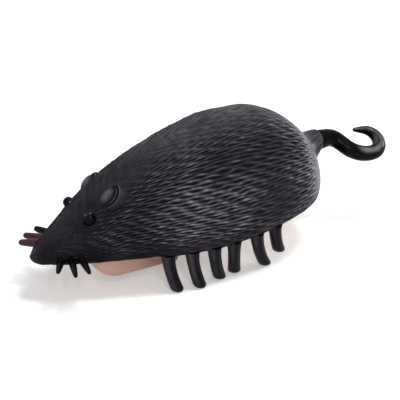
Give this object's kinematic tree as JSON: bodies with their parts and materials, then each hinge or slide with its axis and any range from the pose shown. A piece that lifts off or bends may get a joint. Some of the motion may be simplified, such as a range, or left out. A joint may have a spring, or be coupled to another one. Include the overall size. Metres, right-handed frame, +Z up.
{
  "type": "vibrating mouse toy",
  "caption": "Black moulded toy mouse with a fur-pattern shell, flesh-coloured belly, swept rubber legs and curled tail, moved by a small vibrating motor inside.",
  "frame": {"origin": "on the floor under the middle of the toy's whole length, in its middle plane", "axes": "+Z up, nose towards -Y, tail towards +Y, the toy's own left side towards +X"},
  "size_m": [0.048, 0.125, 0.0471],
  "materials": {
    "shell_black": "matt black moulded plastic with a raised fur pattern",
    "rubber_black": "black soft rubber, slightly glossy",
    "tail_black": "glossy black soft rubber",
    "bead_black": "polished black",
    "flesh_plastic": "satin flesh-coloured moulded plastic",
    "steel": "bright plated steel",
    "brass": "bright brass",
    "copper": "copper-coloured metal",
    "magnet_grey": "dark grey sintered magnet",
    "white_plastic": "white moulded plastic",
    "black_plastic": "black moulded plastic",
    "board_green": "green coated board",
    "wire_red": "red wire insulation",
    "wire_black": "black wire insulation"
  },
  "bodies": {
    "body": {"upper_shell": "shell_black", "belly_pan": "flesh_plastic", "left_leg_strip": "rubber_black", "right_leg_strip": "rubber_black", "left_whiskers": "rubber_black", "right_whiskers": "rubber_black", "left_eye": "bead_black", "right_eye": "bead_black", "motor_can": "steel", "motor_bush": "brass", "motor_end_cap": "white_plastic", "left_magnet": "magnet_grey", "right_magnet": "magnet_grey", "left_motor_terminal": "copper", "right_motor_terminal": "copper", "motor_clamp": "black_plastic", "front_cell": "steel", "rear_cell": "steel", "front_contact": "brass", "rear_contact": "brass", "circuit_board": "board_green", "switch_body": "black_plastic", "red_wire": "wire_red", "black_wire": "wire_black", "front_shell_screw": "steel", "left_shell_screw": "steel", "right_shell_screw": "steel", "rear_shell_screw": "steel", "left_clamp_screw": "steel", "right_clamp_screw": "steel", "left_board_screw": "steel", "right_board_screw": "steel"},
    "rotor": {"motor_shaft": "steel", "motor_armature": "copper", "motor_commutator": "brass", "eccentric_weight": "steel"},
    "door": {"battery_door": "flesh_plastic", "cell_bridge": "brass"},
    "door_screw": {"door_screw": "steel"},
    "slider": {"switch_slider": "black_plastic"},
    "tail": {"tail": "tail_black", "tail_clip": "steel"}
  },
  "joints": [
    {"name": "rotor_spin", "type": "hinge", "parent": "body", "child": "rotor", "pos_m": [0, -0.03355, 0.01167], "axis": [0, 1, 0], "continuous": true},
    {"name": "door_lift", "type": "slide", "parent": "body", "child": "door", "axis": [0, 0, -1], "range_m": [0, 0.0069]},
    {"name": "door_screw_turn", "type": "hinge", "parent": "door", "child": "door_screw", "pos_m": [0, 0.01215, 0.008], "axis": [0, 0, 1], "continuous": true},
    {"name": "switch_slide", "type": "slide", "parent": "body", "child": "slider", "axis": [1, 0, 0], "range_m": [-0.001, 0.001]},
    {"name": "tail_turn", "type": "hinge", "parent": "body", "child": "tail", "pos_m": [0, 0.03975, 0.03038], "axis": [0, 1, 0], "continuous": true}
  ]
}
